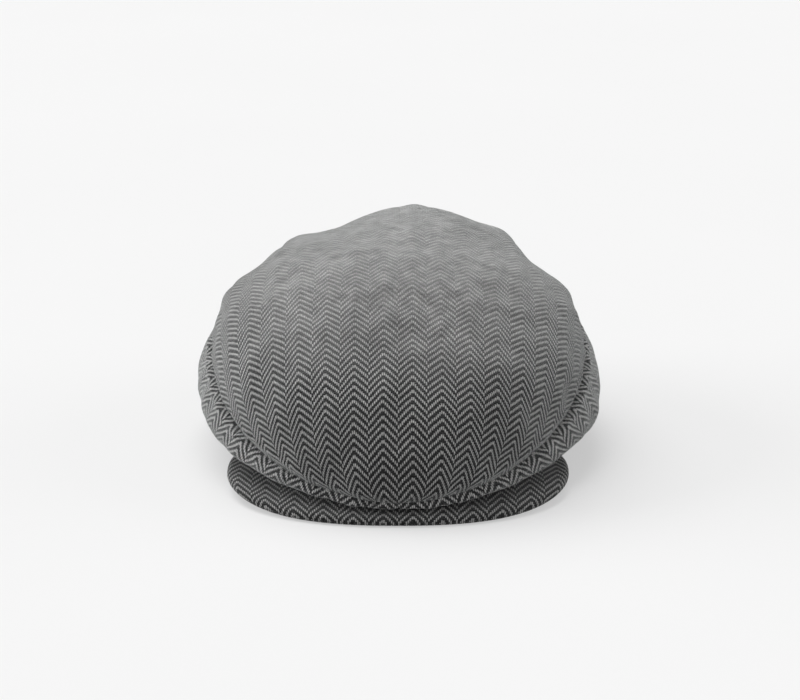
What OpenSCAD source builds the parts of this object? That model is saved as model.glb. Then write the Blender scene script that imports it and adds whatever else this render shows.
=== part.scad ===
// Flat cap with a one-piece top, two side panels and a stiffened visor held to the crown by a press stud.
// Millimetres. Origin: centre of the head opening on the plane of the back hem. Front is -Y, up is +Z.

/* [Head opening] */
// Half width of the hem, outside
hem_half_w = 84; // [78:0.5:90]
// Half length of the hem, outside
hem_half_l = 104; // [98:0.5:110]
// Height of the hem at the forehead above the back hem
hem_lift = 13; // [12:0.5:15]
// Height of the sweatband
sweatband_h = 32; // [26:1:38]

/* [Crown] */
// Half width of the top panel at its seam
top_half_w = 100; // [95:0.5:105]
// Reach of the top panel in front of the origin
top_front = 142; // [140:0.5:143]
// Reach of the top panel behind the origin
top_back = 114; // [110:0.5:118]
// Height of the top panel's seam at the front
seam_low = 10; // [10:0.5:12]
// Height of the top panel's seam at the back
seam_high = 84; // [78:0.5:88]
// Height of the crown's highest point
apex_h = 107; // [102:0.5:112]
// Distance of the highest point behind the origin
apex_back = 55; // [45:1:62]

/* [Visor] */
// Half width of the visor at its widest
visor_half_w = 88; // [85:0.5:90]
// Reach of the visor's front edge in front of the origin
visor_front = 148; // [147:0.5:151]
// Thickness of the covered visor
visor_t = 4; // [4:0.1:4.4]
// Squareness of the visor's outline, 2 for an ellipse
visor_square = 2.3; // [2.2:0.1:2.6]

/* [Materials] */
// Thickness of the wool cloth
cloth_t = 1.5; // [1.2:0.1:1.6]
// Thickness of the satin lining
lining_t = 0.5; // [0.4:0.1:0.6]
// Thickness of the sweatband
band_t = 1.2; // [1:0.1:1.3]

/* [Press stud] */
// Diameter of the press stud halves
snap_d = 11; // [9:0.5:12]
// Diameter of the stud's ball
ball_d = 3.2; // [3:0.1:3.4]

/* [Hidden] */

wool = "dimgray";
satin = "#26262b";
cotton = "#1d1d20";
up = [0, 0, 1];

// Where the top panel is widest, and how much it narrows towards the back.
top_mid = 15;
back_pinch = 0.16;
pinch_power = 1.5;
seam_curve = 0.85;
// Half the gap along the seam round the top panel, and along the seams at the front and back.
join_gap = 0.1;
end_gap = 0.06;
// Control handles of the side panel's section at the front, side and back: out and down from
// the top seam, then out and up from the hem.
seam_out = [4, 18, 9.5];
seam_down = [11, 12.5, 23];
hem_out = [15, 25, 9.5];
hem_up = [9.5, 7.5, 23];
// Extra fullness at the two front corners, outwards and downwards.
corner_out = 3;
corner_down = 6;

// How far the layers lie inside the crown's outer face.
wadding_in = cloth_t + 0.35;
wadding_t = 0.8;
// Radii, as shares of the top panel, where its layers have their first and last rows of points.
top_first = 0.08;
wadding_first = 0.15;
wadding_last = 0.78;
lining_first = 0.12;
lining_last = 0.99;
side_lining_first = 0.03;
lining_in = 5.4;
// How a deeper layer draws in at the seam, and at the front how it rises and its overhang flattens.
draw_in = 1.2;
draw_up = 1.1;
front_spread = 1.3;
overhang_flat = 0.8;
overhang_lift = 1.6;
full_depth = 3;
// Shares of the top and side panels, next to their seam, over which their edges are mitred.
top_mitre = 0.14;
side_mitre = 0.16;
// Step and margin for normals that are found by small differences.
small_step = 0.01;
small_margin = 0.02;
lining_hem_in = 1.8;
lining_hem_up = 3;
binding_in = 2.5;
binding_t = 0.5;
binding_h = 9;
binding_up = 0.5;
band_in = 3.2;
label_t = 0.5;
label_gap = 0.3;
tab_gap = 0.15;

// Visor: centre of its outline, how far the outline turns in behind the widest point,
// the rise of its edge at the sides, and its clearance from the hem.
visor_mid = 85;
visor_turn = 116;
visor_rise = 4.7;
visor_gap = 0.8;
visor_hem_angle = 60;
visor_span = 0.99;
// How closely the visor's rows of points crowd towards its free edge.
edge_crowding = 1.4;
board_t = 1.6;
board_inset = 0.87;
rim_start = 0.88;
layer_gap = 0.1;
edge_round = 0.5;

// Press stud: its place on the visor and the heights of its parts above the visor's top face.
snap_y = -128;
snap_clear = 0.1;
disc_t = 0.5;
neck_d = ball_d - 0.7;
ball_top = 2.3;
socket_top = 2.4;
boss_bottom = 0.9;
boss_d = 6.4;
socket_hole_d = ball_d + 1.6;
spring_d = 0.3;
thread_d = 0.4;
thread_hole_d = 1.4;
thread_ring_r = snap_d / 2 - 1.2;
wire_gap = 0.05;
thread_gap = 0.05;

crown_steps = 60;
side_steps = 30;

// ---------- Curves ----------

// A value that eases between the front, side and back of the crown at angle a.
function ring3(v, a) =
    let (c0 = (v[0] + v[2]) / 4 + v[1] / 2)
    c0 + (v[0] - v[2]) / 2 * cos(a) + (c0 - v[1]) * cos(2 * a);
function unit(v) = v / norm(v);
function mix(p, q, t) = p * (1 - t) + q * t;
function ease(t) = let (c = max(0, min(1, t))) c * c * (3 - 2 * c);
function signed_pow(v, p) = sign(v) * pow(abs(v), p);
function outward(a) = [sin(a), -cos(a), 0];
// Weight of the front: 1 at the forehead, 0 from the sides back.
function frontness(a) = ease(cos(a) * front_spread);
// Weight of the front corners: 1 halfway between the forehead and the side, 0 from the sides back.
function corner(a) = cos(a) > 0 ? pow(sin(2 * a), 2) : 0;

// Point of the hem at angle a, moved inside by d. Angle 0 is the front, 90 the wearer's left.
function hem_z(y) = max(0, -y) * hem_lift / hem_half_l;
function hem(a, d = 0) =
    let (x = (hem_half_w - d) * sin(a), y = -(hem_half_l - d) * cos(a)) [x, y, hem_z(y)];

// Point of the seam between the top panel and the side panels.
function seam(a, d = 0) =
    let (c = cos(a), reach = c > 0 ? top_front - top_mid : top_back + top_mid,
         y = -top_mid - reach * c,
         x = top_half_w * sin(a) * (1 - back_pinch * pow(max(0, -c), pinch_power)),
         along = max(0, (y + top_front) / (top_front + top_back)),
         z = seam_low + (seam_high - seam_low) * pow(along, seam_curve))
    [x, y, z] - outward(a) * d * draw_in + up * d * draw_up * frontness(a);

// The top panel: r runs from 0 at the highest point to 1 at the seam.
function top_at(a, r, d = 0) =
    let (s = seam(a, d), rho = sin(90 * r), zeta = cos(90 * r))
    [s[0] * rho, apex_back + (s[1] - apex_back) * rho, s[2] + (apex_h - d - s[2]) * zeta];

// The side panels: t runs from 0 at the seam to 1 at the hem.
function side_at(a, t, d = 0, hem_d = 0, lift = 0) =
    let (s = seam(a, d), h = hem(a, hem_d) + up * lift, f = frontness(a) * min(1, d / full_depth),
         out = ring3(seam_out, a) + corner_out * corner(a),
         down = ring3(seam_down, a) + corner_down * corner(a),
         c1 = s + outward(a) * out * (1 - f) - up * down * (1 - f),
         c2 = h + outward(a) * ring3(hem_out, a) * (1 - overhang_flat * f)
              + up * (ring3(hem_up, a) + d * overhang_lift * f),
         u = 1 - t)
    u * u * u * s + 3 * u * u * t * c1 + 3 * u * t * t * c2 + t * t * t * h;

// Outward unit normals, by small differences.
function top_normal(a, r) =
    let (q = max(small_margin, min(1 - small_margin, r)), e = small_step)
    unit(cross(top_at(a, q + e) - top_at(a, q - e), top_at(a + 1, q) - top_at(a - 1, q)));
function side_normal(a, t) =
    let (q = max(small_margin, min(1 - small_margin, t)), e = small_step)
    unit(cross(side_at(a, q + e) - side_at(a, q - e), side_at(a + 1, q) - side_at(a - 1, q)));
// Both panels meet at the seam along one mitred edge.
function mitre(a) =
    let (n = unit(top_normal(a, 1) + side_normal(a, 0))) n / max(0.5, n * top_normal(a, 1));
function top_inward(a, r) = mix(top_normal(a, r), mitre(a), ease(1 - (1 - r) / top_mitre));
function side_inward(a, t) = mix(side_normal(a, t), mitre(a), ease(1 - t / side_mitre));

// ---------- Meshes ----------

// Triangles of a grid of rows by cols points that start at index first, facing out or, flipped, in.
function grid_faces(rows, cols, first, closed, flipped) =
    [for (i = [0:rows - 2], j = [0:cols - (closed ? 1 : 2)])
        let (k = (j + 1) % cols, p = first + i * cols + j, q = first + i * cols + k,
             r = p + cols, s = q + cols)
        each flipped ? [[p, q, s], [p, s, r]] : [[p, s, q], [p, r, s]]];
// Triangles that join the edge of the outer grid to the edge of the inner one.
function edge_faces(outer, inner) =
    [for (i = [0:len(outer) - 2])
        each [[outer[i], outer[i + 1], inner[i + 1]], [outer[i], inner[i + 1], inner[i]]]];

// A closed sheet between two grids of points, open on all four edges.
module sheet(outer, inner) {
    rows = len(outer);
    cols = len(outer[0]);
    n = rows * cols;
    rim = concat([for (j = [0:cols - 1]) j],
                 [for (i = [1:rows - 1]) i * cols + cols - 1],
                 [for (j = [cols - 2:-1:0]) (rows - 1) * cols + j],
                 [for (i = [rows - 2:-1:0]) i * cols]);
    polyhedron(points = concat([for (row = outer) each row], [for (row = inner) each row]),
               faces = concat(grid_faces(rows, cols, 0, false, true),
                              grid_faces(rows, cols, n, false, false),
                              edge_faces([for (k = rim) k + n], rim)));
}

// A closed sheet between two grids that go all the way round. With a pole for each grid its
// first row is filled in, otherwise the sheet is a ring.
module round_sheet(outer, inner, poles = []) {
    rows = len(outer);
    cols = len(outer[0]);
    n = rows * cols;
    loop = [for (j = [0:cols]) j % cols];
    last = [for (j = loop) (rows - 1) * cols + j];
    polyhedron(points = concat([for (row = outer) each row], [for (row = inner) each row], poles),
               faces = concat(grid_faces(rows, cols, 0, true, true),
                              grid_faces(rows, cols, n, true, false),
                              edge_faces(last, [for (k = last) k + n]),
                              len(poles) > 0
                              ? concat([for (j = [0:cols - 1]) [2 * n, loop[j + 1], j]],
                                       [for (j = [0:cols - 1]) [2 * n + 1, n + j, n + loop[j + 1]]])
                              : edge_faces([for (k = loop) k + n], loop)));
}

// ---------- Crown ----------

function dome_angles(steps) = [for (j = [0:steps - 1]) 360 * j / steps];
// Points of a face of the top panel's layers, from radius first to radius last.
function dome_face(inside, first, last, rows, steps) =
    [for (k = [0:rows])
        let (r = mix(first, last, k / rows))
        [for (a = dome_angles(steps)) top_at(a, r * top_reach(a)) - top_inward(a, r) * inside]];

module dome(inside, thickness, first, last, rows, steps) {
    pole = [0, apex_back, apex_h - inside];
    round_sheet(dome_face(inside, first, last, rows, steps),
                dome_face(inside + thickness, first, last, rows, steps),
                [pole, pole - up * thickness]);
}

module top_panel() {
    color(wool) dome(0, cloth_t, top_first, 1, 12, crown_steps);
}

module top_wadding() {
    color("whitesmoke") dome(wadding_in, wadding_t, wadding_first, wadding_last, 6, 40);
}

// The lining is cut smaller than the cloth, so it follows a smaller dome and not an offset.
module lining_top() {
    steps = 48;
    angles = dome_angles(steps);
    radii = [for (k = [0:8]) mix(lining_first, lining_last, k / 8)];
    outer = [for (r = radii) [for (a = angles) top_at(a, r, lining_in)]];
    inner = [for (i = [0:8])
                [for (j = [0:steps - 1]) outer[i][j] - top_inward(angles[j], radii[i]) * lining_t]];
    pole = [0, apex_back, apex_h - lining_in];
    color(satin) round_sheet(outer, inner, [pole, pole - up * lining_t]);
}

// Angles from the front seam to the back seam, short of both by the end gap.
function half_turn(side, steps) =
    let (front = asin(end_gap / hem_half_w), back = 180 - front)
    [for (j = [0:steps]) side * mix(front, back, j / steps)];
// Where the panels stop on either side of their common seam.
function top_reach(a) = 1 - join_gap / ((apex_h - seam(a)[2]) * PI / 2);
function side_start(a) = join_gap / (3 * norm([ring3(seam_out, a), ring3(seam_down, a)]));

// One side panel, from the seam to the hem; side is 1 for the wearer's left and -1 for the right.
module side_panel(side) {
    angles = half_turn(side, side_steps);
    outer = [for (k = [0:11]) [for (a = angles) side_at(a, mix(side_start(a), 1, k / 11))]];
    inner = [for (k = [0:11])
                [for (j = [0:side_steps])
                    outer[k][j] - side_inward(angles[j], mix(side_start(angles[j]), 1, k / 11)) * cloth_t]];
    color(wool) if (side > 0) sheet(outer, inner); else sheet(inner, outer);
}

module lining_side(side) {
    angles = half_turn(side, 24);
    levels = [for (k = [0:7]) mix(side_lining_first, 1, k / 7)];
    outer = [for (t = levels)
                [for (a = angles) side_at(a, t, lining_in, lining_hem_in, lining_hem_up)]];
    inner = [for (row = outer) [for (j = [0:len(row) - 1]) row[j] - lining_inward(angles[j]) * lining_t]];
    color(satin) if (side > 0) sheet(outer, inner); else sheet(inner, outer);
}
// The lining faces outwards at the sides and down over the front overhang.
function lining_inward(a) = unit(outward(a) - up * frontness(a));

// ---------- Band and labels ----------

// An upright ring that follows the hem, from inside to inside + thickness.
module hem_ring(inside, thickness, bottom, height, steps = crown_steps) {
    angles = [for (j = [0:steps - 1]) 360 * j / steps];
    levels = [bottom + height, bottom];
    function level(d) = [for (z = levels) [for (a = angles) hem(a, d) + up * z]];
    round_sheet(level(inside), level(inside + thickness));
}

module hem_binding() {
    color(cotton) hem_ring(binding_in, binding_t, binding_up, binding_h);
}

module sweatband() {
    color(cotton) hem_ring(band_in, band_t, 0, sweatband_h);
}

// Threads of the seam along the foot of the sweatband.
module sweatband_stitches() {
    count = 72;
    length = 4;
    height = 3.5;
    gap = 0.2;
    inside = band_in + band_t + gap + thread_d / 2;
    color("silver")
    for (j = [0:count - 1]) {
        a = 360 * (j + 0.5) / count;
        step = hem(a + 1, inside) - hem(a, inside);
        translate(hem(a, inside) + up * height)
            rotate([0, 90, atan2(step[1], step[0])])
                cylinder(h = length, d = thread_d, center = true, $fn = 16);
    }
}

// A patch of ribbon that follows the sweatband between two angles and two heights.
module band_patch(inside, thickness, first, last, bottom, top) {
    angles = [for (j = [0:8]) mix(first, last, j / 8)];
    function face(d) = [for (z = [top, bottom]) [for (a = angles) hem(a, d) + up * z]];
    sheet(face(inside), face(inside + thickness));
}

// Blank woven label on the inner face of the sweatband at the back.
module woven_label() {
    color("lightgray") band_patch(band_in + band_t + label_gap, label_t, 170, 190, 9, 25);
}

// Small folded tab caught behind the top edge of the sweatband.
module size_tab() {
    color("lightgray")
    band_patch(band_in - tab_gap - label_t, label_t, 139, 147, sweatband_h - 8, sweatband_h + 7);
}

// ---------- Visor ----------

// Top face of the visor: v runs from 0 at the hem to 1 at the free edge, a across it.
function visor_edge(a) =
    let (p = 2 / visor_square, b = a * visor_turn / visor_hem_angle)
    [visor_half_w * signed_pow(sin(b), p),
     -visor_mid - (visor_front - visor_mid) * signed_pow(cos(b), p),
     visor_t - edge_round + visor_rise * pow(sin(b), 4)];
function visor_at(a, v, sink = 0) =
    mix(hem(a, -visor_gap) - up * visor_gap, visor_edge(a), v) - up * sink;

// A layer of the visor between two depths below its top face. Near the free edge its faces move
// to the two rim depths, where the covers close on each other round the board.
module visor_layer(depths, rim_depths, reach = 1) {
    angles = [for (j = [-24:24]) visor_hem_angle * visor_span * j / 24];
    steps = [for (k = [0:9]) 1 - pow(1 - k / 9, edge_crowding)];
    function face(i) =
        [for (v = steps)
            let (depth = mix(depths[i], rim_depths[i], ease((v - rim_start) / (1 - rim_start))))
            [for (a = angles) visor_at(a, v * reach, depth)]];
    sheet(face(0), face(1));
}

cover_t = (visor_t - board_t) / 2 - layer_gap;
rim_middle = visor_t / 2;
module visor_upper_cover() {
    color(wool) visor_layer([0, cover_t], [edge_round, rim_middle - layer_gap / 2]);
}
module visor_board() {
    depths = [cover_t + layer_gap, cover_t + layer_gap + board_t];
    color("ivory") visor_layer(depths, depths, board_inset);
}
module visor_under_cover() {
    color(wool) visor_layer([visor_t - cover_t, visor_t], [rim_middle + layer_gap / 2, visor_t - edge_round]);
}

// ---------- Press stud ----------

// Places a press stud part square to the visor, with its foot on the visor's top face.
module on_visor() {
    rear = visor_at(0, 0);
    edge = visor_at(0, 1);
    share = (snap_y - rear[1]) / (edge[1] - rear[1]);
    tilt = atan2(rear[2] - edge[2], rear[1] - edge[1]);
    translate(mix(rear, edge, share)) rotate([tilt, 0, 0]) children();
}

// Four holes near the rim of a disc, for the threads.
module thread_holes() {
    for (k = [0:3])
        rotate([0, 0, 45 + 90 * k]) translate([thread_ring_r, 0, -1])
            cylinder(h = 5, d = thread_hole_d, $fn = 24);
}

module snap_stud() {
    ball_middle = 1.8;
    ball_slope = 0.4;
    ball_face_d = ball_d - 1;
    color("darkgray")
    on_visor()
        difference() {
            rotate_extrude($fn = 48)
                polygon([[0, snap_clear], [snap_d / 2, snap_clear], [snap_d / 2, snap_clear + disc_t],
                         [neck_d / 2, snap_clear + disc_t], [neck_d / 2, ball_middle - ball_slope],
                         [ball_d / 2, ball_middle], [ball_face_d / 2, ball_top], [0, ball_top]]);
            thread_holes();
        }
}

module snap_socket() {
    color("darkgray")
    on_visor()
        difference() {
            rotate_extrude($fn = 48)
                polygon([[socket_hole_d / 2, boss_bottom], [boss_d / 2, boss_bottom],
                         [boss_d / 2, socket_top - disc_t], [snap_d / 2, socket_top - disc_t],
                         [snap_d / 2, socket_top], [socket_hole_d / 2, socket_top]]);
            thread_holes();
        }
}

// Two wires across the socket's hole, one each side of the stud's neck.
module snap_spring() {
    reach = ball_d / 2 + wire_gap + spring_d / 2;
    half_length = sqrt(pow(socket_hole_d / 2, 2) - pow(reach + spring_d / 2, 2)) - wire_gap;
    color("silver")
    on_visor()
        for (x = [-reach, reach])
            translate([x, 0, boss_bottom + spring_d]) rotate([90, 0, 0])
                cylinder(h = 2 * half_length, d = spring_d, center = true, $fn = 16);
}

// Four threads over a disc's rim, from its holes to the cloth beside it. The bar of each thread
// runs at height bar and its legs reach from there to height foot.
module snap_stitches(bar, foot) {
    outside = snap_d / 2 + 2 * thread_gap + thread_d / 2;
    color("black")
    on_visor()
        for (k = [0:3])
            rotate([0, 0, 45 + 90 * k]) {
                for (x = [thread_ring_r, outside])
                    translate([x, 0, min(bar, foot)])
                        cylinder(h = abs(bar - foot), d = thread_d, $fn = 16);
                translate([thread_ring_r - thread_d / 2, 0, bar]) rotate([0, 90, 0])
                    cylinder(h = outside - thread_ring_r + thread_d, d = thread_d, $fn = 16);
            }
}
module snap_stud_stitches() {
    snap_stitches(snap_clear + disc_t + thread_gap + thread_d / 2, snap_clear / 2);
}
module snap_socket_stitches() {
    snap_stitches(socket_top - disc_t - thread_gap - thread_d / 2, socket_top + snap_clear / 2);
}

top_panel();
side_panel(1);  // side_panel_left
side_panel(-1);  // side_panel_right
top_wadding();
lining_top();
lining_side(1);  // lining_side_left
lining_side(-1);  // lining_side_right
sweatband();
sweatband_stitches();
hem_binding();
woven_label();
size_tab();
visor_board();
visor_upper_cover();
visor_under_cover();
snap_socket();
snap_spring();
snap_stud();
snap_socket_stitches();
snap_stud_stitches();
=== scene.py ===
"""The looks of a herringbone flat cap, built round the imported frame.

Lengths are in millimetres until make_mesh() turns them into metres. Angles go round the crown in
radians: 0 is the front (-Y) and a quarter turn is the wearer's left (+X).
"""
import math

import bpy
import numpy as np
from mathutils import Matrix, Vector


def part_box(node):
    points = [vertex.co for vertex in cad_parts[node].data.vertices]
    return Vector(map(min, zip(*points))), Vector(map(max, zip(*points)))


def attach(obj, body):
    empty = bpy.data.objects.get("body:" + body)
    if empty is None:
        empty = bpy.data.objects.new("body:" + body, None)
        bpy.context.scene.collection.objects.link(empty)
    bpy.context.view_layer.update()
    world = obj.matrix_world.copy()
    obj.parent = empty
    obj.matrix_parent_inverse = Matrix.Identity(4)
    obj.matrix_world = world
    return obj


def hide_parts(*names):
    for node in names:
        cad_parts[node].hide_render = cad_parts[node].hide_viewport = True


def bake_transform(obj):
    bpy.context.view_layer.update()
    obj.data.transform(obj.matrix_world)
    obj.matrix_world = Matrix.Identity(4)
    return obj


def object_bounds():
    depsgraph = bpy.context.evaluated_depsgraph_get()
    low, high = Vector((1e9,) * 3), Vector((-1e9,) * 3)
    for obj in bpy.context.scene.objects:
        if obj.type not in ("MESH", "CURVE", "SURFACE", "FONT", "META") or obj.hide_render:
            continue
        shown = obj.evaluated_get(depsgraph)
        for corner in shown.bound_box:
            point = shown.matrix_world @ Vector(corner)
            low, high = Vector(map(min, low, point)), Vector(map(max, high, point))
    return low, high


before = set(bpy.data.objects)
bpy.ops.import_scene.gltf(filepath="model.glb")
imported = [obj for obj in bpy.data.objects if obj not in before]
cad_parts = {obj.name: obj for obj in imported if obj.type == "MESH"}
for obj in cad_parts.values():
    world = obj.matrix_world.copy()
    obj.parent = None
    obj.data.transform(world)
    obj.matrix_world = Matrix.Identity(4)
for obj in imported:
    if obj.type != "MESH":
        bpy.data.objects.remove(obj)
cad_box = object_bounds()

MM = 0.001
TURN = 2 * math.pi
UP = np.array([0.0, 0.0, 1.0])


# ---------- Sizes, read from the frame ----------

def box_mm(node):
    low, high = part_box(node)
    return np.array(low) / MM, np.array(high) / MM


BAND_IN = 3.2
VISOR_GAP = 0.8
EDGE_ROUND = 0.5
# The top panel's lower edge hangs this far below the seam's lowest point.
EDGE_BELOW_SEAM = 0.16

top_low, top_high = box_mm("top_panel")
_, side_high = box_mm("side_panel_left")
_, band_high = box_mm("sweatband")
visor_low, visor_high = box_mm("visor_upper_cover")

TOP_W, TOP_FRONT, TOP_BACK = top_high[0], -top_low[1], top_high[1]
SEAM_LOW, SEAM_HIGH, APEX_H = top_low[2] + EDGE_BELOW_SEAM, side_high[2], top_high[2]
HEM_W, HEM_L = band_high[0] + BAND_IN, band_high[1] + BAND_IN
HEM_LIFT = (visor_high[2] + VISOR_GAP) * HEM_L / (HEM_L + VISOR_GAP)
BAND_H = band_high[2] - HEM_LIFT * (HEM_L - BAND_IN) / HEM_L
VISOR_W, VISOR_FRONT = visor_high[0], -visor_low[1]

# The crown's section, as in the design: control handles at the front, side and back.
TOP_MID, BACK_PINCH, PINCH_POWER, SEAM_CURVE, APEX_BACK = 15.0, 0.16, 1.5, 0.85, 55.0
SEAM_OUT, SEAM_DOWN = (4.0, 18.0, 9.5), (11.0, 12.5, 23.0)
HEM_OUT, HEM_UP = (15.0, 25.0, 9.5), (9.5, 7.5, 23.0)
CORNER_OUT, CORNER_DOWN = 3.0, 6.0
# How a deeper layer draws in at the seam, and at the front how it rises and its overhang flattens.
DRAW_IN, DRAW_UP, FRONT_SPREAD = 1.2, 1.1, 1.3
OVERHANG_FLAT, OVERHANG_LIFT, FULL_DEPTH = 0.8, 1.6, 3.0
LINING_IN, LINING_HEM_IN, LINING_HEM_UP = 5.4, 1.8, 3.0
WADDING_IN, WADDING_T = 1.85, 0.8

CLOTH_T = 1.4
LINING_T = 0.5
BAND_T = 1.2
VISOR_T, COVER_T = 4.0, 1.1
VISOR_MID, VISOR_RISE, VISOR_SQUARE = 85.0, 4.7, 2.3
VISOR_TURN, VISOR_HEM_ANGLE = math.radians(116), math.radians(60)

# The front of the crown folds under at this share of the side panel's section, as far round as
# the visor reaches. There the cloth from the fold to the hem is made of strips.
FOLD_AT = 0.3
FOLD_ANGLE = 60
FOLD_STRIP = 10
# Share of a strip, from the fold, that stays still; the press stud's socket sits on it.
FOLD_STILL = 0.55


# ---------- Curves and surfaces ----------

def ring3(values, a):
    """A value that eases between the front, side and back of the crown at angle a."""
    front, side, back = values
    c0 = (front + back) / 4 + side / 2
    return c0 + (front - back) / 2 * np.cos(a) + (c0 - side) * np.cos(2 * a)


def ease(t):
    t = np.clip(t, 0, 1)
    return t * t * (3 - 2 * t)


def unit(v):
    return v / np.maximum(np.linalg.norm(v, axis=-1, keepdims=True), 1e-9)


def outward(a):
    return np.stack([np.sin(a), -np.cos(a), np.zeros_like(a)], -1)


def frontness(a):
    return ease(FRONT_SPREAD * np.cos(a))


def hem_curve(a, inside=0.0):
    x, y = (HEM_W - inside) * np.sin(a), -(HEM_L - inside) * np.cos(a)
    return np.stack([x, y, np.maximum(0, -y) * HEM_LIFT / HEM_L], -1)


def seam_curve(a, inside=0.0):
    c = np.cos(a)
    reach = np.where(c > 0, TOP_FRONT - TOP_MID, TOP_BACK + TOP_MID)
    y = -TOP_MID - reach * c
    x = TOP_W * np.sin(a) * (1 - BACK_PINCH * np.maximum(0, -c) ** PINCH_POWER)
    along = np.clip((y + TOP_FRONT) / (TOP_FRONT + TOP_BACK), 0, 1)
    z = SEAM_LOW + (SEAM_HIGH - SEAM_LOW) * along ** SEAM_CURVE
    raised = (DRAW_UP * inside * frontness(a))[..., None]
    return np.stack([x, y, z], -1) - outward(a) * inside * DRAW_IN + UP * raised


def top_surface(a, r, inside=0.0):
    """The top panel; r runs from 0 at the highest point to 1 at the seam."""
    s = seam_curve(a, inside)
    rho, zeta = np.sin(r * math.pi / 2), np.cos(r * math.pi / 2)
    return np.stack([s[..., 0] * rho, APEX_BACK + (s[..., 1] - APEX_BACK) * rho,
                     s[..., 2] + (APEX_H - inside - s[..., 2]) * zeta], -1)


def side_surface(a, t, inside=0.0, hem_in=0.0, hem_up=0.0):
    """The side panels; t runs from 0 at the seam to 1 at the hem."""
    s, h = seam_curve(a, inside), hem_curve(a, hem_in) + UP * hem_up
    out, t = outward(a), t[..., None]
    flat = frontness(a)[..., None] * min(1, inside / FULL_DEPTH)
    corner = np.where(np.cos(a) > 0, np.sin(2 * a) ** 2, 0)
    over = (ring3(SEAM_OUT, a) + CORNER_OUT * corner)[..., None] * (1 - flat)
    down = (ring3(SEAM_DOWN, a) + CORNER_DOWN * corner)[..., None] * (1 - flat)
    c1 = s + out * over - UP * down
    c2 = h + out * ring3(HEM_OUT, a)[..., None] * (1 - OVERHANG_FLAT * flat)
    c2 = c2 + UP * (ring3(HEM_UP, a)[..., None] + OVERHANG_LIFT * inside * flat)
    u = 1 - t
    return u ** 3 * s + 3 * u * u * t * c1 + 3 * u * t * t * c2 + t ** 3 * h


def crown_surface(a, q):
    """The whole crown; q runs from 0 at the highest point over 1 at the seam to 2 at the hem."""
    return np.where((q <= 1)[..., None], top_surface(a, np.clip(q, 0, 1)),
                    side_surface(a, np.clip(q - 1, 0, 1)))


# Soft hollows and fullness of an unworn cap: centre, movement, and reach across, along and up.
LUMPS = [
    ((-36, 80, 100), (0, 0, -7.5), (29, 60, 40)),
    ((-63, 84, 92), (-1.0, 0, 4.9), (12, 20, 16)),
    ((10, 104, 96), (0, 1.0, 2.4), (9, 14, 14)),
    ((64, 78, 88), (2.0, 0, 4.0), (13, 26, 18)),
    ((0, -40, 84), (0, 0, 2.0), (40, 30, 30)),
    ((46, 20, 92), (0, 0, -2.5), (24, 30, 24)),
    ((77, 45, 84), (-4.0, 0, -2.0), (16, 40, 9)),
    ((88, 38, 68), (3.5, 0, 0.5), (14, 40, 9)),
    ((-77, 45, 84), (4.0, 0, -2.0), (16, 40, 9)),
    ((-88, 38, 68), (-3.5, 0, 0.5), (14, 40, 9)),
    ((-92, -30, 22), (3.0, 0, 0.0), (20, 24, 18)),
    ((92, -50, 18), (1.5, -1, -1.5), (22, 22, 16)),
]


def lump_shift(points):
    shift = np.zeros_like(points)
    for centre, move, reach in LUMPS:
        distance = np.linalg.norm((points - np.array(centre, float)) / np.array(reach, float), axis=-1)
        shift += np.exp(-distance ** 2)[..., None] * np.array(move, float)
    return shift


# ---------- Grids ----------

def grid(first, second):
    return np.meshgrid(first, second, indexing="ij")


def round_angles(count):
    return TURN * np.arange(count) / count


def normals_of(points, closed):
    """Unit normals of a grid whose rows run outwards and whose columns run anticlockwise."""
    along = np.gradient(points, axis=0)
    if closed:
        across = np.roll(points, -1, axis=1) - np.roll(points, 1, axis=1)
    else:
        across = np.gradient(points, axis=1)
    return unit(np.cross(along, across))


def lengths_along(points, axis):
    """Distance along the grid's rows (axis 0) or columns (axis 1) from the first one."""
    steps = np.linalg.norm(np.diff(points, axis=axis), axis=-1)
    pad = [(0, 0), (0, 0)]
    pad[axis] = (1, 0)
    return np.cumsum(np.pad(steps, pad), axis=axis)


def cubic_weights(f):
    return np.stack([(-f + 2 * f ** 2 - f ** 3) / 2, (2 - 5 * f ** 2 + 3 * f ** 3) / 2,
                     (f + 4 * f ** 2 - 3 * f ** 3) / 2, (f ** 3 - f ** 2) / 2])


def resample(field, rows, columns):
    """A smooth reading of field at fractional rows, and at fractional columns that wrap round."""
    count, wrap = field.shape[:2]
    base = np.floor(rows).astype(int)
    weights = cubic_weights(rows - base)
    mid = sum(weights[k][:, None, None] * field[np.clip(base + k - 1, 0, count - 1)]
              for k in range(4))
    base = np.floor(columns).astype(int)
    weights = cubic_weights(columns - base)
    return sum(weights[k][None, :, None] * mid[:, (base + k - 1) % wrap] for k in range(4))


def soft_noise(points, size, seed):
    """A smooth random value per point, from sums of plane waves about size millimetres long."""
    rng = np.random.default_rng(seed)
    total = np.zeros(points.shape[:-1])
    for _ in range(24):
        direction = unit(rng.normal(size=3))
        wave = TURN / (size * rng.uniform(0.7, 1.6))
        total += np.sin(points @ direction * wave + rng.uniform(0, TURN))
    return total / math.sqrt(12)


# ---------- Meshes ----------

def enclosed_volume(points, faces):
    """Six times the volume inside faces of three or four corners."""
    total = 0.0
    for size in (3, 4):
        chosen = np.array([f for f in faces if len(f) == size], int).reshape(-1, size)
        for k in range(1, size - 1):
            p, q, r = (points[chosen[:, c]] for c in (0, k, k + 1))
            total += (p * np.cross(q, r)).sum()
    return total


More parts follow.
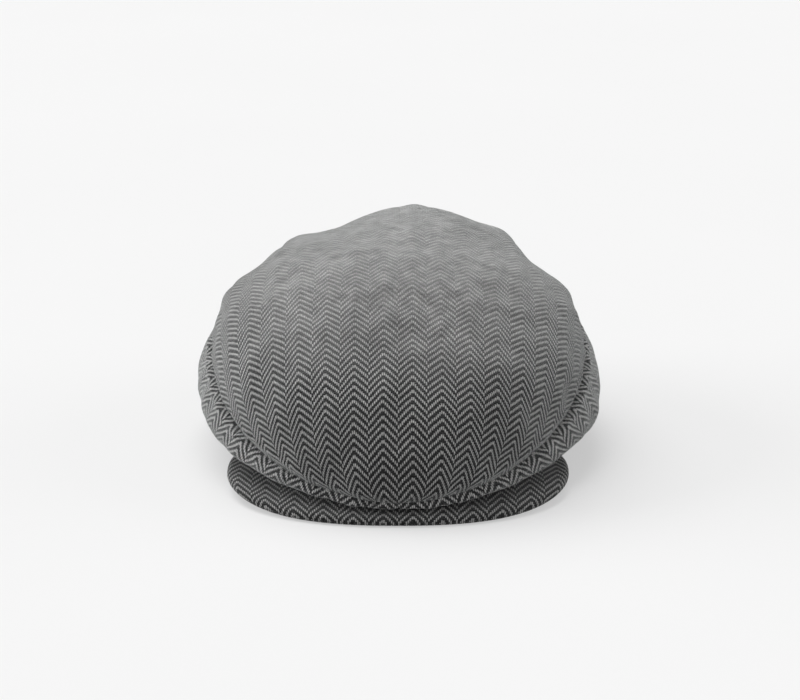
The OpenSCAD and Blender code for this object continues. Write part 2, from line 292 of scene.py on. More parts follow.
def make_mesh(name, points, faces, weave=None, material=None):
    """A new piece of the given faces, turned outwards where they enclose something."""
    points = np.asarray(points, float)
    if enclosed_volume(points, faces) < 0:
        faces = [tuple(reversed(f)) for f in faces]
    used = np.unique(np.concatenate([np.asarray(f) for f in faces]))
    place = np.full(len(points), -1)
    place[used] = np.arange(len(used))
    mesh = bpy.data.meshes.new(name)
    mesh.from_pydata((points[used] * MM).tolist(), [], [tuple(place[list(f)].tolist()) for f in faces])
    if weave is not None:
        attribute = mesh.attributes.new("weave", "FLOAT_VECTOR", "POINT")
        flat = np.zeros((len(used), 3), np.float32)
        flat[:, :2] = np.asarray(weave)[used]
        attribute.data.foreach_set("vector", flat.ravel())
    mesh.polygons.foreach_set("use_smooth", [True] * len(mesh.polygons))
    mesh.update()
    if material:
        mesh.materials.append(material)
    piece = bpy.data.objects.new(name, mesh)
    bpy.context.scene.collection.objects.link(piece)
    return piece


def grid_quads(rows, columns, closed):
    quads = []
    for i in range(rows - 1):
        for j in range(columns if closed else columns - 1):
            p, q = i * columns + j, i * columns + (j + 1) % columns
            quads.append((p + columns, q + columns, q, p))
    return quads


def shell(name, outer, inner, weave, material, closed=False, capped=False, left_out=None):
    """A closed sheet of cloth between two grids, but for the cells that left_out names.

    A capped one is filled in inside its first row.
    """
    rows, columns = outer.shape[:2]
    count = rows * columns
    points = np.concatenate([outer.reshape(-1, 3), inner.reshape(-1, 3)])
    uv = np.concatenate([weave.reshape(-1, 2)] * 2)
    outside = grid_quads(rows, columns, closed)
    if left_out:
        outside = [q for q in outside if not left_out(*divmod(q[3], columns))]
    if capped:
        outside += [(j, (j + 1) % columns, 2 * count) for j in range(columns)]
        points = np.concatenate([points, [outer[0].mean(0), inner[0].mean(0)]])
        uv = np.concatenate([uv, [weave[0].mean(0)] * 2])
    inside = [tuple(v + count if v < count else v + 1 for v in reversed(f)) for f in outside]
    edges = {edge for f in outside for edge in zip(f, f[1:] + f[:1])}
    rim = [(b, a, a + count, b + count) for a, b in sorted(edges) if (b, a) not in edges]
    return make_mesh(name, points, outside + inside + rim, uv, material)


def swept_ring(name, profile, angles, material):
    """A ring round the head opening; profile is a closed loop of (inside, height) pairs."""
    loop = [hem_curve(angles, inside) + UP * rise for inside, rise in profile]
    points = np.array(loop + loop[:1])
    around = lengths_along(points[:1], 1)
    v = lengths_along(points, 0)
    weave = np.stack([np.broadcast_to(around, v.shape), v], -1)
    rows, columns = points.shape[:2]
    count = len(loop) * columns
    faces = [tuple(v % count for v in f) for f in grid_quads(rows, columns, True)]
    return make_mesh(name, points[:-1].reshape(-1, 3), faces, weave[:-1].reshape(-1, 2), material)


def rounded_loop(inside, thickness, low, high, corners=4):
    """Profile of a flat strip that stands up, with rounded top and bottom edges."""
    half = thickness / 2
    turns = np.linspace(0, math.pi, corners + 1)
    top = [(inside + half - half * math.cos(t), high - half + half * math.sin(t)) for t in turns]
    bottom = [(inside + half + half * math.cos(t), low + half - half * math.sin(t)) for t in turns]
    steps = np.linspace(0, 1, 8)[1:-1]
    down = [(inside + thickness, high - half + (low - high + thickness) * s) for s in steps]
    rise = [(inside, low + half + (high - low - thickness) * s) for s in steps]
    return top + down + bottom + rise


def threads(name, middles, directions, length, radius, material):
    """Short stitches: rounded beads of thread along the given directions."""
    sides, levels = 8, [(-0.5, 0.3), (-0.42, 0.8), (-0.2, 1.0), (0.2, 1.0), (0.42, 0.8), (0.5, 0.3)]
    points, faces = [], []
    for middle, direction in zip(middles, unit(directions)):
        across = unit(np.cross(direction, UP))
        above = np.cross(across, direction)
        first = len(points)
        for along, size in levels:
            for k in range(sides):
                turn = TURN * k / sides
                around = across * math.cos(turn) + above * math.sin(turn)
                points.append(middle + direction * length * along + around * radius * size)
        faces += [tuple(first + v for v in f) for f in grid_quads(len(levels), sides, True)]
        last = first + (len(levels) - 1) * sides
        for k in range(1, sides - 1):
            faces.append((first, first + k, first + k + 1))
            faces.append((last, last + k + 1, last + k))
    return make_mesh(name, points, faces, None, material)


# ---------- Materials ----------

class Finish:
    """A node material: a principled surface and the maths that feeds it."""

    def __init__(self, name, **surface):
        self.material = bpy.data.materials.new(name)
        self.material.use_nodes = True
        self.nodes, self.links = self.material.node_tree.nodes, self.material.node_tree.links
        self.surface = self.nodes["Principled BSDF"]
        for socket, value in surface.items():
            self.surface.inputs[socket.replace("_", " ")].default_value = value

    def put(self, socket, value):
        if isinstance(value, bpy.types.NodeSocket):
            self.links.new(value, socket)
        else:
            socket.default_value = value

    def math(self, operation, *values):
        node = self.nodes.new("ShaderNodeMath")
        node.operation = operation
        for socket, value in zip(node.inputs, values):
            self.put(socket, value)
        return node.outputs[0]

    def add(self, a, b):
        return self.math("ADD", a, b)

    def times(self, a, b):
        return self.math("MULTIPLY", a, b)

    def limit(self, a, low, high):
        return self.math("MAXIMUM", self.math("MINIMUM", a, high), low)

    def cloth_place(self):
        """Places along and across the cloth, in millimetres."""
        node = self.nodes.new("ShaderNodeAttribute")
        node.attribute_name = "weave"
        split = self.nodes.new("ShaderNodeSeparateXYZ")
        self.links.new(node.outputs["Vector"], split.inputs[0])
        return node.outputs["Vector"], split.outputs[0], split.outputs[1]

    def object_place(self):
        return self.nodes.new("ShaderNodeTexCoord").outputs["Object"]

    def object_height(self):
        split = self.nodes.new("ShaderNodeSeparateXYZ")
        self.links.new(self.object_place(), split.inputs[0])
        return split.outputs[2]

    def noise(self, place, scale, detail=2.0, rough=0.5):
        node = self.nodes.new("ShaderNodeTexNoise")
        self.links.new(place, node.inputs["Vector"])
        node.inputs["Scale"].default_value = scale
        node.inputs["Detail"].default_value = detail
        node.inputs["Roughness"].default_value = rough
        return node.outputs["Fac"]

    def wobble(self, place, scale, amount):
        """Noise about zero."""
        return self.times(self.add(self.noise(place, scale), -0.5), amount)

    def contrast(self, value, gain):
        """The value spread away from its middle, within 0 and 1."""
        return self.limit(self.add(self.times(self.add(value, -0.5), gain), 0.5), 0.0, 1.0)

    def mix(self, share, first, second, blend="MIX"):
        node = self.nodes.new("ShaderNodeMix")
        node.data_type, node.blend_type = "RGBA", blend
        self.put(node.inputs[0], share)
        self.put(node.inputs[6], first)
        self.put(node.inputs[7], second)
        return node.outputs[2]

    def shade(self, colour, amount):
        """The colour made lighter or darker by a grey amount."""
        node = self.nodes.new("ShaderNodeVectorMath")
        node.operation = "SCALE"
        self.put(node.inputs[0], colour)
        self.put(node.inputs["Scale"], amount)
        return node.outputs[0]

    def bump(self, height, depth_mm, strength=1.0):
        node = self.nodes.new("ShaderNodeBump")
        node.inputs["Distance"].default_value = depth_mm * MM
        node.inputs["Strength"].default_value = strength
        self.links.new(height, node.inputs["Height"])
        self.links.new(node.outputs[0], self.surface.inputs["Normal"])

    def colour(self, colour):
        self.links.new(colour, self.surface.inputs["Base Color"])

    def roughness(self, value):
        self.links.new(value, self.surface.inputs["Roughness"])


def grey(level, warm=0.0):
    return (level * (1 + warm), level, level * (1 - warm), 1)


# Painted highlight and raised nap: from this height of the crown, over this rise, the weave fades into a
# paler fuzz, partly a nap and partly painted light from above.
NAP_AND_TOP_LIGHT_FROM, NAP_AND_TOP_LIGHT_OVER = 58.0, 42.0
# Spacing of the yarns along and across, and yarns in one column of the herringbone.
WARP, WEFT = 0.925, 1.03
COLUMN_YARNS = 8


def tweed(name, painted_light_gain, sheen):
    """Herringbone: a 2/2 twill of light warp and dark weft whose slope turns at every column."""
    f = Finish(name, Roughness=0.95, Specular_IOR_Level=0.2, Sheen_Weight=sheen,
               Sheen_Roughness=0.33, Sheen_Tint=(0.97, 1.0, 0.99, 1))
    place, u, v = f.cloth_place()
    u = f.add(u, f.add(f.wobble(place, 0.08, 0.8), f.wobble(place, 1.3, 0.5)))
    v = f.add(v, f.add(f.wobble(place, 0.08, 1.0), f.wobble(place, 1.1, 0.8)))
    warps, wefts = f.times(u, 1 / WARP), f.times(v, 1 / WEFT)
    warp, weft = f.math("FLOOR", warps), f.math("FLOOR", wefts)
    across, along = f.math("FRACT", warps), f.math("FRACT", wefts)
    column = f.math("FLOOR", f.times(f.add(warp, 0.5), 1 / COLUMN_YARNS))
    in_column = f.add(warp, f.times(column, -COLUMN_YARNS))
    mirrored = f.math("FLOORED_MODULO", column, 2.0)
    turned = f.add(COLUMN_YARNS - 1, f.times(in_column, -1.0))
    step = f.add(in_column, f.times(mirrored, f.add(turned, f.times(in_column, -1.0))))
    offset = f.times(f.math("FLOOR", f.times(f.add(column, 0.25), 0.5)), 2.0)
    phase = f.math("FLOORED_MODULO", f.add(f.add(weft, step), offset), 4.0)
    warp_up = f.math("LESS_THAN", phase, 1.5)
    warp_round = f.math("SINE", f.times(across, math.pi))
    weft_round = f.math("SINE", f.times(along, math.pi))
    float_place = f.times(f.add(phase, along), 0.5)
    bead = f.math("POWER", f.limit(f.math("SINE", f.times(float_place, math.pi)), 0.0, 1.0), 0.6)
    warp_height = f.times(f.add(f.times(warp_round, 0.5), 0.5), f.add(f.times(bead, 0.5), 0.5))
    weft_height = f.times(weft_round, 0.4)
    down = f.add(1.0, f.times(warp_up, -1.0))
    fibre = f.noise(place, 3.2, 4, 0.75)
    height = f.add(f.add(f.times(warp_up, warp_height), f.times(down, weft_height)),
                   f.times(fibre, 0.7))
    # Where the light warp floats on top its colour shows, darkened towards its rounded edges and float
    # ends as painted shade; elsewhere the dark weft shows.
    shown = f.times(warp_up, f.limit(f.add(f.times(f.times(warp_round, bead), 1.9), -0.3), 0.0, 1.0))
    shown = f.times(shown, f.limit(f.add(f.times(fibre, 2.4), -0.35), 0.0, 1.0))
    fleck = f.contrast(f.noise(place, 1.1, 3, 0.7), 2.2)
    light = f.mix(fleck, grey(0.28, 0.01), grey(1.0, 0.01))
    dark = f.mix(f.math("POWER", fleck, 2.0), grey(0.006, -0.04), grey(0.11, -0.01))
    # Painted highlight: towards the top of the crown the colour turns to a paler, patchy fuzz, partly a
    # raised nap and partly painted light from above.
    rise = f.add(f.object_height(), f.wobble(f.object_place(), 14, 0.03))
    nap_and_top_light = f.limit(f.times(f.add(rise, -NAP_AND_TOP_LIGHT_FROM * MM), 1 / (NAP_AND_TOP_LIGHT_OVER * MM)), 0.0, 1.0)
    nap_and_top_light = f.times(nap_and_top_light, f.add(f.times(f.noise(f.object_place(), 45, 3), 0.6), 0.25))
    pale_fuzz_and_top_light = f.mix(f.contrast(f.noise(place, 1.7, 4, 0.8), 3.0), grey(0.05), grey(0.62, 0.01))
    colour = f.mix(nap_and_top_light, f.mix(shown, dark, light), pale_fuzz_and_top_light)
    patchy = f.add(f.times(f.noise(f.object_place(), 28, 3), 0.5), 0.75)
    mottled = f.add(1.0, f.times(nap_and_top_light, f.wobble(f.object_place(), 150, 3.2)))
    # Each copy's colour is scaled by its gain: above 1 it is painted light, below 1 it is painted shade.
    f.colour(f.shade(colour, f.times(f.times(patchy, mottled), painted_light_gain)))
    f.bump(height, 0.4, 1.0)
    return f.material


def satin():
    f = Finish("satin_lining", Roughness=0.34, Specular_IOR_Level=0.55, Sheen_Weight=0.1, Anisotropic=0.5)
    place, u, v = f.cloth_place()
    rib = f.math("SINE", f.times(f.add(u, v), TURN / 0.35))
    cloud = f.noise(place, 0.05, 3)
    f.colour(f.mix(cloud, grey(0.012, -0.04), grey(0.032, -0.08)))
    f.bump(f.add(f.times(rib, 0.3), f.times(f.noise(place, 0.5, 3), 0.7)), 0.06, 0.6)
    f.roughness(f.add(f.times(cloud, 0.18), 0.26))
    return f.material


def ribbed(name, low, high, rib_mm, rough):
    """Ribbon whose ribs stand across its length."""
    f = Finish(name, Specular_IOR_Level=0.35, Sheen_Weight=0.2, Sheen_Roughness=0.5)
    place, u, v = f.cloth_place()
    rib = f.math("SINE", f.times(u, TURN / rib_mm))
    weave = f.math("SINE", f.times(v, TURN / 0.5))
    noise = f.noise(place, 0.8, 3)
    f.colour(f.mix(f.limit(f.add(f.times(rib, 0.35), noise), 0.0, 1.0), low, high))
    f.bump(f.add(f.add(f.times(rib, 0.7), f.times(weave, 0.2)), f.times(noise, 0.4)), 0.18, 0.9)
    f.roughness(f.add(f.times(noise, 0.2), rough - 0.1))
    return f.material


def batting():
    f = Finish("cotton_wadding", Specular_IOR_Level=0.2, Sheen_Weight=0.4)
    place = f.object_place()
    tuft = f.noise(place, 260, 5, 0.7)
    f.colour(f.mix(tuft, grey(0.55, 0.02), grey(0.82, 0.01)))
    f.bump(tuft, 0.6, 0.8)
    f.roughness(f.add(f.times(tuft, 0.1), 0.85))
    return f.material


def twisted_thread(name, low, high):
    f = Finish(name, Specular_IOR_Level=0.4, Sheen_Weight=0.2)
    place = f.object_place()
    ply = f.noise(place, 2600, 2)
    f.colour(f.mix(ply, low, high))
    f.bump(ply, 0.06, 0.8)
    f.roughness(f.add(f.times(ply, 0.2), 0.5))
    return f.material


def board():
    f = Finish("visor_board", Specular_IOR_Level=0.4)
    place = f.object_place()
    pulp = f.noise(place, 900, 4, 0.7)
    f.colour(f.mix(pulp, grey(0.62, 0.06), grey(0.8, 0.04)))
    f.bump(pulp, 0.08, 0.6)
    f.roughness(f.add(f.times(pulp, 0.15), 0.6))
    return f.material


def metal(name, low, high, rough):
    f = Finish(name, Metallic=1.0)
    place = f.object_place()
    wear = f.noise(place, 500, 4, 0.6)
    f.colour(f.mix(wear, low, high))
    f.roughness(f.add(f.times(wear, 0.2), rough))
    f.bump(f.noise(place, 1800, 3), 0.015, 0.5)
    return f.material


def floor_finish():
    f = Finish("studio_floor", Specular_IOR_Level=0.1, Emission_Strength=0.45,
               Emission_Color=(1, 1, 1, 1))
    tone = f.noise(f.object_place(), 3, 2)
    f.colour(f.mix(tone, grey(0.40), grey(0.42)))
    f.roughness(f.add(f.times(tone, 0.05), 0.9))
    return f.material


# Lit and shaded copies of one tweed: the side cloth and fold are painted lighter, and the visor is
# painted darker, with less sheen, as the crown's shadow on it.
TOP_TWEED = tweed("herringbone_tweed", 1.0, 0.85)
SIDE_TWEED_PAINTED_LIGHT = tweed("herringbone_tweed_side_painted_light", 1.2, 0.9)
VISOR_TWEED_PAINTED_SHADE = tweed("herringbone_tweed_visor_painted_shade", 0.75, 0.3)
SATIN = satin()
GROSGRAIN = ribbed("grosgrain_band", grey(0.008), grey(0.035), 0.9, 0.62)
BINDING = ribbed("bias_binding", grey(0.01, 0.02), grey(0.04, 0.02), 0.6, 0.7)
LABEL = ribbed("woven_label", grey(0.34, 0.02), grey(0.55, 0.02), 0.45, 0.5)
WADDING = batting()
THREAD = twisted_thread("band_thread", grey(0.25, 0.02), grey(0.5, 0.02))
DARK_THREAD = twisted_thread("stud_thread", grey(0.008), grey(0.03))


# ---------- Crown: settling ----------

# Rows and columns of the settling grid, its first level, and the frames that the cloth is given.
SIM_TOP_ROWS, SIM_SIDE_ROWS, SIM_COLUMNS = 26, 22, 144
SIM_FIRST = 0.06
SIM_FRAMES = 24
# Share by which the cloth is roomier than its shape, and the furthest that a point may settle.
SLACK = 0.025
MOST_SETTLING = 3.5
UNEVENNESS = 0.15
FREE_HOLD, SEAM_HOLD = 0.42, 0.62


def sim_levels():
    top = np.linspace(SIM_FIRST, 1, SIM_TOP_ROWS + 1)
    return np.concatenate([top, 1 + np.arange(1, SIM_SIDE_ROWS + 1) / SIM_SIDE_ROWS])


def sim_row(q):
    """Fractional row of the settling grid for level q."""
    top = (q - SIM_FIRST) / (1 - SIM_FIRST) * SIM_TOP_ROWS
    return np.where(q <= 1, np.maximum(top, 0), SIM_TOP_ROWS + (q - 1) * SIM_SIDE_ROWS)


def hold_weights(q, a):
    """How firmly the settling cloth keeps its place: fully at the hem, the fold and the crown's
    highest point, and a little along the seams, where the cloth is doubled."""
    under = ease((np.cos(a) - 0.35) / 0.2) * ease((q - 1 - 0.6 * FOLD_AT) / 0.2)
    seam = SEAM_HOLD * np.exp(-((q - 1) / 0.05) ** 2)
    hem = ease((q - 1.75) / 0.2)
    peak = ease((0.3 - q) / 0.15)
    return np.clip(np.maximum.reduce([np.full_like(q, FREE_HOLD), seam, under, hem, peak]), 0, 1)


def settle(points, hold):
    """Where slightly roomy cloth of this shape comes to rest under its own weight."""
    rows, columns = points.shape[:2]
    piece = make_mesh("settling", points.reshape(-1, 3), grid_quads(rows, columns, True))
    group = piece.vertex_groups.new(name="hold")
    for index, weight in enumerate(hold.ravel().tolist()):
        group.add([index], weight, "REPLACE")
    cloth = piece.modifiers.new("cloth", "CLOTH")
    cloth.point_cache.frame_end = SIM_FRAMES
    settings = cloth.settings
    settings.quality = 7
    settings.mass = 0.12
    settings.tension_stiffness = settings.compression_stiffness = 12
    settings.shear_stiffness = 6
    settings.bending_stiffness = 0.6
    settings.tension_damping = settings.compression_damping = 10
    settings.vertex_group_mass = "hold"
    settings.pin_stiffness = 1.0
    settings.shrink_min = -SLACK
    cloth.collision_settings.use_collision = False
    for frame_number in range(1, SIM_FRAMES + 1):
        bpy.context.scene.frame_set(frame_number)
    evaluated = piece.evaluated_get(bpy.context.evaluated_depsgraph_get())
    rested = np.empty(len(points.reshape(-1, 3)) * 3)
    evaluated.data.vertices.foreach_get("co", rested)
    bpy.context.scene.frame_set(1)
    bpy.data.objects.remove(piece)
    return rested.reshape(points.shape) / MM


def smoothed(field, passes):
    """The field with each value eased towards its neighbours'; columns wrap round."""
    for _ in range(passes):
        field = (np.roll(field, 1, 1) + np.roll(field, -1, 1) + 2 * field) / 4
        middle = (field[:-2] + field[2:] + 2 * field[1:-1]) / 4
        field = np.concatenate([field[:1], middle, field[-1:]])
    return field


def settling_shift():
    q, a = grid(sim_levels(), round_angles(SIM_COLUMNS))
    base = crown_surface(a, q)
    start = base + lump_shift(base)
    hold = hold_weights(q, a)
    rng = np.random.default_rng(7)
    uneven = start + (1 - hold)[..., None] * rng.normal(size=start.shape) * UNEVENNESS
    shift = smoothed(settle(uneven, hold) - start, 1)
    size = np.linalg.norm(shift, axis=-1, keepdims=True)
    capped = MOST_SETTLING * np.tanh(size / MOST_SETTLING)
    return shift * capped / np.maximum(size, 1e-9)


SETTLING = settling_shift()


def crown_shift(levels, angles, base):
    """How far the lumps and the settling move a grid of the crown at these levels and angles."""
    columns = angles / TURN * SIM_COLUMNS
    return lump_shift(base) + resample(SETTLING, sim_row(levels), columns)


# ---------- Crown: weave places ----------

def half_width(y):
    """Half the top panel's width at y."""
    a = np.linspace(0, math.pi, 721)
    outline = seam_curve(a)
    return np.interp(y, outline[:, 1], outline[:, 0])


def reach_at(x, forward):
    """How far the top panel reaches forward or backward of its widest place at x."""
    quarter = math.pi / 2
    a = np.linspace(0, quarter, 361) if forward else np.linspace(math.pi, quarter, 361)
    outline = seam_curve(a)
    return np.interp(np.abs(x), outline[:, 0], np.abs(outline[:, 1] + TOP_MID))


def top_height(x, y):
    """Height of the top panel over a place inside its outline."""
    a = np.linspace(0, math.pi, 1441)
    outline = seam_curve(a)
    bearing = np.arctan2(outline[:, 0], -(outline[:, 1] - APEX_BACK))
    bearings = np.arctan2(np.abs(x), -(y - APEX_BACK))
    edge = np.stack([np.interp(bearings, bearing, outline[:, k]) for k in range(3)], -1)
    reach = np.hypot(edge[..., 0], edge[..., 1] - APEX_BACK)
    rho = np.clip(np.hypot(x, y - APEX_BACK) / np.maximum(reach, 1e-6), 0, 1)
    return edge[..., 2] + (APEX_H - edge[..., 2]) * np.sqrt(1 - rho ** 2)


def path_length(x, y):
    """Length of paths given by rows of points over the top panel."""
    z = top_height(x, y)
    return np.sqrt(np.diff(x) ** 2 + np.diff(y) ** 2 + np.diff(z) ** 2).sum(-1)


def top_weave(base):
    """Places on the cut cloth: across from the middle line, and forward from the widest line.

    The steps of each path close up towards the seam, where the panel is steep.
    """
    x, y = base[..., 0].ravel(), base[..., 1].ravel()
    share = np.linspace(0, 1, 60)[None]
    width = np.maximum(half_width(y), 1e-6)
    turn = np.arcsin(np.clip(np.abs(x) / width, 0, 1))[:, None]
    path_x = width[:, None] * np.sin(turn * share)
    across = path_length(path_x, np.broadcast_to(y[:, None], path_x.shape)) * np.sign(x)
    ahead = y < -TOP_MID
    reach = np.maximum(np.where(ahead, reach_at(x, True), reach_at(x, False)), 1e-6)
    turn = np.arcsin(np.clip(np.abs(y + TOP_MID) / reach, 0, 1))[:, None]
    path_y = -TOP_MID + np.where(ahead, -1, 1)[:, None] * reach[:, None] * np.sin(turn * share)
    along = path_length(np.broadcast_to(x[:, None], path_y.shape), path_y) * np.where(ahead, 1, -1)
    return np.stack([across, along], -1).reshape(base.shape[:2] + (2,))


# ---------- Crown: cloth panels ----------

GROOVE_DEPTH, GROOVE_WIDTH = 1.5, 3.0
RIDGE_HEIGHT, RIDGE_AT, RIDGE_WIDTH = 0.7, 3.8, 1.5
PUCKER_LENGTH, PUCKER_SHARE = 11.0, 0.35
END_GROOVE_DEPTH, END_GROOVE_WIDTH = 0.9, 2.6
RIPPLE_HEIGHT, RIPPLE_SIZE = 0.25, 24
JOIN_GAP = 0.1
CROWN_COLUMNS = 360
FIRST_RING = 0.03


def crown_levels():
    """Levels of the crown's rows, closer together near the seam."""
    dome = np.concatenate([np.linspace(FIRST_RING, 0.96, 62)[:-1], np.linspace(0.96, 1, 14)])
    near = np.linspace(0, 0.1, 12)[1:]
    far = np.concatenate([np.linspace(0.1, FOLD_AT, 10)[1:], np.linspace(FOLD_AT, 1, 28)[1:]])
    return np.concatenate([dome, 1 + near, 1 + far])


def groove(distance, depth, width):
    return depth * np.clip(1 - distance / width, 0, 1) ** 1.7


def crown_points(levels, angles):
    """The crown's outer face with its seams sunk in, and its normals and places on the cloth."""
    q, a = grid(levels, angles)
    base = crown_surface(a, q)
    points = base + crown_shift(levels, angles, base)
    ripple = RIPPLE_HEIGHT * soft_noise(points, RIPPLE_SIZE, 3)[..., None]
    points = points + normals_of(points, True) * ripple
    normals = normals_of(points, True)
    seam_row = int(np.argmin(np.abs(levels - 1)))
    travel = lengths_along(points, 0)
    from_seam = np.abs(travel - travel[seam_row])
    seam_loop = np.concatenate([base[seam_row], base[seam_row, :1]])[None]
    around = lengths_along(seam_loop, 1)[0]
    pucker = 1 + PUCKER_SHARE * np.sin(TURN * around[:-1] / PUCKER_LENGTH
                                       + 2 * soft_noise(points[seam_row], 40, 5))
    sunk = groove(from_seam, GROOVE_DEPTH, GROOVE_WIDTH) * pucker
    ridge = RIDGE_HEIGHT * np.exp(-((from_seam - RIDGE_AT) / RIDGE_WIDTH) ** 2) * pucker
    below = q >= 1
    ring = np.linalg.norm(np.diff(np.concatenate([points, points[:, :1]], 1), axis=1), axis=-1).mean(1)
    count = len(angles)
    place = np.arange(count)
    steps = np.minimum.reduce([place, count - place, np.abs(place - count // 2)])
    from_end = steps[None] * ring[:, None]
    sunk = np.maximum(sunk, np.where(below, groove(from_end, END_GROOVE_DEPTH, END_GROOVE_WIDTH), 0))
    points = points + normals * (ridge - sunk)[..., None]
    weave = np.zeros(base.shape[:2] + (2,))
    weave[:seam_row + 1] = top_weave(base[:seam_row + 1])
    down = lengths_along(base[seam_row:], 0)
    weave_side = np.stack([np.broadcast_to(around[:-1], down.shape), down], -1)
    return points, normals, weave, weave_side, seam_row, around[-1]


def build_crown():
    levels, angles = crown_levels(), round_angles(CROWN_COLUMNS)
    points, normals, weave, weave_side, seam_row, seam_length = crown_points(levels, angles)
    top = points[:seam_row + 1].copy()
    top[-1] += unit(top[-2] - top[-1]) * JOIN_GAP
    top_normals = normals[:seam_row + 1]
    pieces = {}
    piece = shell("top_cloth", top, top - top_normals * CLOTH_T, weave[:seam_row + 1], TOP_TWEED,
                  closed=True, capped=True)
    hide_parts("top_panel")
    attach(piece, "crown")
    pieces["top"] = piece
    half = CROWN_COLUMNS // 2
    below = points[seam_row:].copy()
    below[0] += unit(below[1] - below[0]) * JOIN_GAP
    fold_row = int(np.argmin(np.abs(levels[seam_row:] - 1 - FOLD_AT)))
    fold_columns = round(FOLD_ANGLE / 360 * CROWN_COLUMNS)
    for word, sign in (("left", 1), ("right", -1)):
        order = np.arange(half + 1) if sign > 0 else -np.arange(half + 1)
        columns = order % CROWN_COLUMNS
        outer, face_normals = below[:, columns], normals[seam_row:][:, columns]
        place = weave_side[:, columns].copy()
        if sign < 0:
            place[..., 0] = np.where(place[..., 0] > 0, place[..., 0] - seam_length, 0)
        node = f"side_panel_{word}"
        piece = shell(f"side_cloth_{word}", outer, outer - face_normals * CLOTH_T, place, SIDE_TWEED_PAINTED_LIGHT,
                      left_out=lambda row, column: row >= fold_row and column < fold_columns)
        strips = fold_strips(word, outer, face_normals, place, fold_row)
        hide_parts(node)
        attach(piece, "crown")
        pieces[word] = (piece, strips)
    return pieces


def fold_strips(word, outer, normals, weave, fold_row):
    """The cloth from the fold under the front to the hem, in strips."""
    strips = []
    wide = round(FOLD_STRIP / 360 * CROWN_COLUMNS)
    for k in range(FOLD_ANGLE // FOLD_STRIP):
        columns = slice(k * wide, (k + 1) * wide + 1)
        face = outer[fold_row:, columns]
        piece = shell(f"under_front_{word}_{k + 1}", face, face - normals[fold_row:, columns] * CLOTH_T,
                      weave[fold_row:, columns], SIDE_TWEED_PAINTED_LIGHT)
        fold, hem = face[0, wide // 2] * MM, face[-1, wide // 2] * MM
        fold = fold * (1 - FOLD_STILL) + hem * FOLD_STILL
        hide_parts(f"side_panel_{word}")
        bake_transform(piece)
        strips.append(piece)
    return strips


crown = build_crown()


# ---------- Crown: wadding and lining ----------

def dome_layer(name, levels, inside, thickness, material, columns=120, lining=False):
    """A layer under the top panel that moves with its lumps."""
    angles = round_angles(columns)
    q, a = grid(levels, angles)
    base = top_surface(a, q, inside if lining else 0.0)
    shift = crown_shift(levels, angles, crown_surface(a, q))
    outer = base + shift
    normals = normals_of(outer, True)
    if not lining:
        outer = outer - normals * inside
    weave = top_weave(top_surface(a, q))
    return shell(name, outer, outer - normals * thickness, weave, material, closed=True, capped=True)


# Where the lining's panels stop short of their seams, and the gathers of its side panels.
LINING_END, LINING_FIRST, LINING_LAST = 0.003, 0.012, 0.996
GATHER_LENGTH, GATHER_DEPTH, GATHER_RADIUS = 26, 0.4, 100


def side_lining(word, sign):
    """The satin behind one side panel, with the small gathers of its hand."""
    a = np.linspace(LINING_END, math.pi - LINING_END, 121) * sign
    t = np.linspace(LINING_FIRST, 1, 30)
    level, angle = grid(t, a)
    base = side_surface(angle, level, LINING_IN, LINING_HEM_IN, LINING_HEM_UP)
    columns = (a % TURN) / TURN * SIM_COLUMNS
    shift = lump_shift(crown_surface(angle, 1 + level)) + resample(SETTLING, sim_row(1 + t), columns)
    facing = unit(outward(angle) - UP * frontness(angle)[..., None])
    phase = TURN * a * GATHER_RADIUS / GATHER_LENGTH + 1.5 * soft_noise(base, 60, 11)
    gather = GATHER_DEPTH * (1 + np.sin(phase))
    outer = base + shift - facing * (gather * np.sin(level * math.pi) ** 2)[..., None]
    weave = np.stack([lengths_along(base, 1), lengths_along(base, 0)], -1)
    return shell(f"satin_side_{word}", outer, outer - facing * LINING_T, weave, SATIN)


wadding = dome_layer("wadding_sheet", np.linspace(0.05, 0.78, 30), WADDING_IN, WADDING_T, WADDING)
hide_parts("top_wadding")
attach(wadding, "crown")

satin_top = dome_layer("satin_top", np.linspace(0.05, LINING_LAST, 46), LINING_IN, LINING_T, SATIN,
                       lining=True)
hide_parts("lining_top")
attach(satin_top, "crown")

for lining_word, lining_sign in (("left", 1), ("right", -1)):
    satin_side = side_lining(lining_word, lining_sign)
    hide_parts(f"lining_side_{lining_word}")
    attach(satin_side, "crown")


# ---------- Sweatband, binding and labels ----------

BAND_COLUMNS = 240
BAND_STITCHES, STITCH_LENGTH, STITCH_RADIUS, STITCH_HEIGHT, STITCH_SUNK = 72, 4.0, 0.25, 3.5, 0.1
RIBBON_T, LABEL_GAP, TAB_GAP = 0.4, 0.3, 0.25
FOLD_RISE, FOLD_FROM_END, FOLD_WIDTH = 0.18, 1.2, 1.0
BINDING_IN, BINDING_T, BINDING_LOW, BINDING_HEIGHT = 2.5, 0.5, 0.5, 9.0


def turn_with_visor(piece):
    """Bakes the piece's placement into its mesh."""
    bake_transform(piece)


